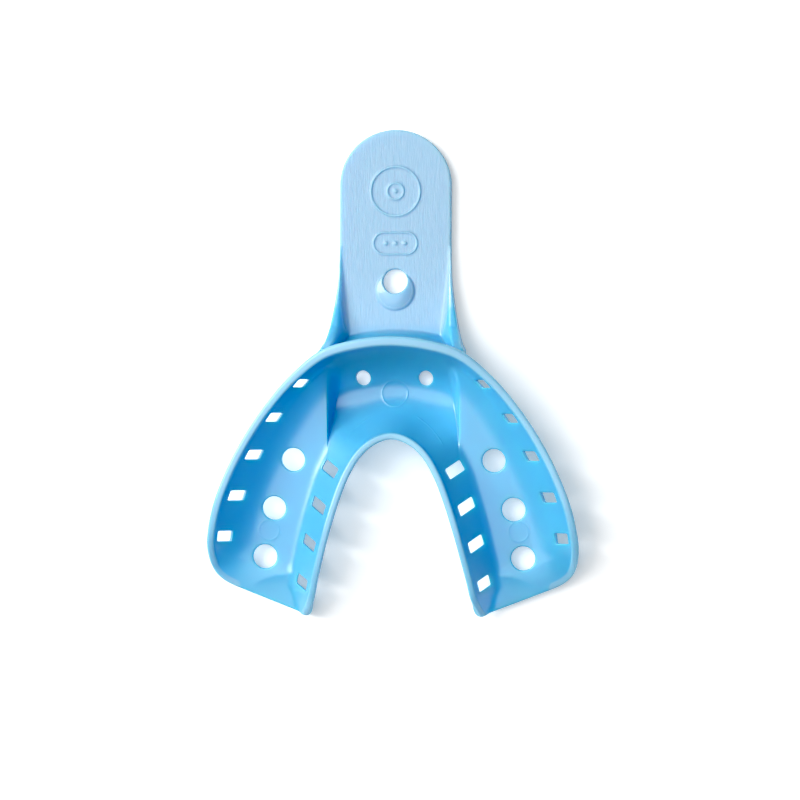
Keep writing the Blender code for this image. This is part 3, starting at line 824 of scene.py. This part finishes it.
def mix(tree, kind, factor, a, b):
    """A Mix node; a and b are values or sockets."""
    node = tree.nodes.new("ShaderNodeMix")
    node.data_type = kind
    first = {"FLOAT": 2, "RGBA": 6}[kind]
    tree.links.new(factor, node.inputs[0])
    for socket, item in ((node.inputs[first], a), (node.inputs[first + 1], b)):
        if isinstance(item, bpy.types.NodeSocket):
            tree.links.new(item, socket)
        else:
            socket.default_value = item
    return node.outputs[{"FLOAT": 0, "RGBA": 2}[kind]]


def product(tree, a, b):
    node = tree.nodes.new("ShaderNodeMath")
    node.operation = "MULTIPLY"
    tree.links.new(a, node.inputs[0])
    tree.links.new(b, node.inputs[1])
    return node.outputs["Value"]


def bump(tree, height, strength, distance, normal=None):
    node = tree.nodes.new("ShaderNodeBump")
    node.inputs["Distance"].default_value = distance
    if isinstance(strength, bpy.types.NodeSocket):
        tree.links.new(strength, node.inputs["Strength"])
    else:
        node.inputs["Strength"].default_value = strength
    tree.links.new(height, node.inputs["Height"])
    if normal is not None:
        tree.links.new(normal, node.inputs["Normal"])
    return node.outputs["Normal"]


def moulded_plastic():
    """Glossy blue polystyrene, brushed to a satin along the handle, with faint flow marks."""
    material = bpy.data.materials.new("moulded_plastic")
    material.use_nodes = True
    tree = material.node_tree
    shader = tree.nodes["Principled BSDF"]
    shader.inputs["IOR"].default_value = IOR
    shader.inputs["Specular IOR Level"].default_value = SPECULAR
    shader.inputs["Subsurface Weight"].default_value = 1.0
    shader.inputs["Subsurface Radius"].default_value = SUBSURFACE_RADIUS
    shader.inputs["Subsurface Scale"].default_value = SUBSURFACE_SCALE
    place = tree.nodes.new("ShaderNodeTexCoord").outputs["Object"]
    split = tree.nodes.new("ShaderNodeSeparateXYZ")
    tree.links.new(place, split.inputs["Vector"])
    handle = map_range(tree, split.outputs["Y"], HANDLE_FROM, (0.0, 1.0))
    low = map_range(tree, split.outputs["Z"], PALE_BELOW, (0.0, 1.0))
    flat = map_range(tree, split.outputs["Z"], BRUSHED_BELOW, (0.0, 1.0))
    pale = product(tree, handle, low)
    satin = product(tree, handle, flat)
    stretch = tree.nodes.new("ShaderNodeMapping")
    stretch.inputs["Scale"].default_value = BRUSH_STRETCH
    tree.links.new(place, stretch.inputs["Vector"])
    brushed = noise(tree, stretch.outputs["Vector"], *BRUSH_NOISE)
    peel = noise(tree, place, *PEEL_NOISE)
    flow = map_range(tree, noise(tree, place, *FLOW_NOISE), NOISE_RANGE, (0.0, 1.0))
    brushed_spread = map_range(tree, brushed, NOISE_RANGE, HANDLE_ROUGHNESS)
    peel_spread = map_range(tree, flow, (0.0, 1.0), CHANNEL_ROUGHNESS)
    spread = mix(tree, "FLOAT", pale, peel_spread, BUTTON_ROUGHNESS)
    tree.links.new(mix(tree, "FLOAT", satin, spread, brushed_spread), shader.inputs["Roughness"])
    channel = mix(tree, "RGBA", flow, BASE_DEEP, BASE_LIGHT)
    tree.links.new(mix(tree, "RGBA", pale, channel, BASE_HANDLE), shader.inputs["Base Color"])
    normal = bump(tree, peel, PEEL_BUMP, PEEL_DEPTH)
    satin_strength = map_range(tree, satin, (0.0, 1.0), (0.0, SATIN_BUMP))
    normal = bump(tree, brushed, satin_strength, SATIN_DEPTH, normal)
    tree.links.new(normal, shader.inputs["Normal"])
    bloom = tree.nodes.new("ShaderNodeBsdfDiffuse")
    tree.links.new(normal, bloom.inputs["Normal"])
    streaks = mix(tree, "RGBA", brushed, BLOOM_LOW, BLOOM_HIGH)
    tree.links.new(mix(tree, "RGBA", satin, BLOOM_EVEN, streaks), bloom.inputs["Color"])
    surface = tree.nodes.new("ShaderNodeMixShader")
    # On the rims' beads the pale share is raised: a painted highlight along the beads.
    rim = tree.nodes.new("ShaderNodeAttribute")
    rim.attribute_name = "rim"
    channel_share, rim_painted_highlight, handle_share = BLOOM_AND_RIM_HIGHLIGHT_SHARES
    share = mix(tree, "FLOAT", pale, channel_share, handle_share)
    share = mix(tree, "FLOAT", rim.outputs["Fac"], share, rim_painted_highlight)
    tree.links.new(share, surface.inputs["Fac"])
    tree.links.new(shader.outputs["BSDF"], surface.inputs[1])
    tree.links.new(bloom.outputs["BSDF"], surface.inputs[2])
    tree.links.new(surface.outputs["Shader"], tree.nodes["Material Output"].inputs["Surface"])
    return material


# Stage, light and camera

FLOOR_HALF_SIZE = 3.0
FLOOR_BELOW = 0.00002
FLOOR_COLOR = (0.97, 0.97, 0.97, 1)
FLOOR_GLOW = 0.27
BLACK_LEVEL = (0.045, 0.045, 0.045)
WORLD_STRENGTH = 0.05
# Lights: direction across the plan in degrees from +X, height in degrees, width in degrees, watts
SOFTBOX = (195.0, 81.0, 54.0, 11.5)
SIDE = (153.0, 47.0, 42.0, 18.0)
KEY = (166.0, 30.0, 12.0, 8.0)
LIGHT_DISTANCE = 1.5
CAMERA_LENS = 138.0
CAMERA_AIM = (0.0008, -0.0048, 0.0)
CAMERA_DISTANCE = 0.550
# In degrees: how far the camera leans to the right of straight down, and its turn round its own axis
CAMERA_TILT = 4.6
CAMERA_ROLL = 0.24


def add_floor():
    mesh = bpy.data.meshes.new("floor")
    size = FLOOR_HALF_SIZE
    corners = [(-size, -size, 0), (size, -size, 0), (size, size, 0), (-size, size, 0)]
    mesh.from_pydata(corners, [], [(0, 1, 2, 3)])
    floor = bpy.data.objects.new("floor", mesh)
    floor.location.z = -FLOOR_BELOW
    bpy.context.scene.collection.objects.link(floor)
    material = bpy.data.materials.new("white_floor")
    material.use_nodes = True
    shader = material.node_tree.nodes["Principled BSDF"]
    shader.inputs["Base Color"].default_value = FLOOR_COLOR
    shader.inputs["Roughness"].default_value = 0.9
    shader.inputs["Specular IOR Level"].default_value = 0.1
    shader.inputs["Emission Color"].default_value = (1, 1, 1, 1)
    shader.inputs["Emission Strength"].default_value = FLOOR_GLOW
    mesh.materials.append(material)


def add_area_light(name, across, up, width, power):
    data = bpy.data.lights.new(name, "AREA")
    data.shape = "DISK"
    data.size = 2 * LIGHT_DISTANCE * math.tan(math.radians(width / 2))
    data.energy = power
    light = bpy.data.objects.new(name, data)
    across, up = math.radians(across), math.radians(up)
    direction = Vector((math.cos(across) * math.cos(up), math.sin(across) * math.cos(up), math.sin(up)))
    light.location = direction * LIGHT_DISTANCE
    light.rotation_euler = direction.to_track_quat("Z", "Y").to_euler()
    bpy.context.scene.collection.objects.link(light)


def add_world(strength):
    world = bpy.data.worlds.new("studio")
    world.use_nodes = True
    background = world.node_tree.nodes["Background"]
    background.inputs["Color"].default_value = (1, 1, 1, 1)
    background.inputs["Strength"].default_value = strength
    bpy.context.scene.world = world


def add_camera():
    data = bpy.data.cameras.new("camera")
    data.lens = CAMERA_LENS
    data.sensor_width = 36.0
    data.clip_start = 0.01
    camera = bpy.data.objects.new("camera", data)
    tilt = math.radians(CAMERA_TILT)
    back = Vector((math.sin(tilt), 0.0, math.cos(tilt)))
    camera.location = Vector(CAMERA_AIM) + back * CAMERA_DISTANCE
    right = Vector((math.cos(tilt), 0.0, -math.sin(tilt)))
    up = Vector((0, 1, 0))
    roll = math.radians(CAMERA_ROLL)
    basis = Matrix((right, up, back)).transposed() @ Matrix.Rotation(roll, 3, "Z")
    camera.rotation_euler = basis.to_euler()
    bpy.context.scene.collection.objects.link(camera)
    bpy.context.scene.camera = camera


view = bpy.context.scene.view_settings
view.view_transform = "Standard"
view.use_curve_mapping = True
view.curve_mapping.black_level = BLACK_LEVEL
view.curve_mapping.update()
add_camera()
add_floor()
add_world(WORLD_STRENGTH)
add_area_light("softbox", *SOFTBOX)
add_area_light("side", *SIDE)
add_area_light("key", *KEY)

tray = build_tray()
tray.data.materials.append(moulded_plastic())
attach(tray, "root")
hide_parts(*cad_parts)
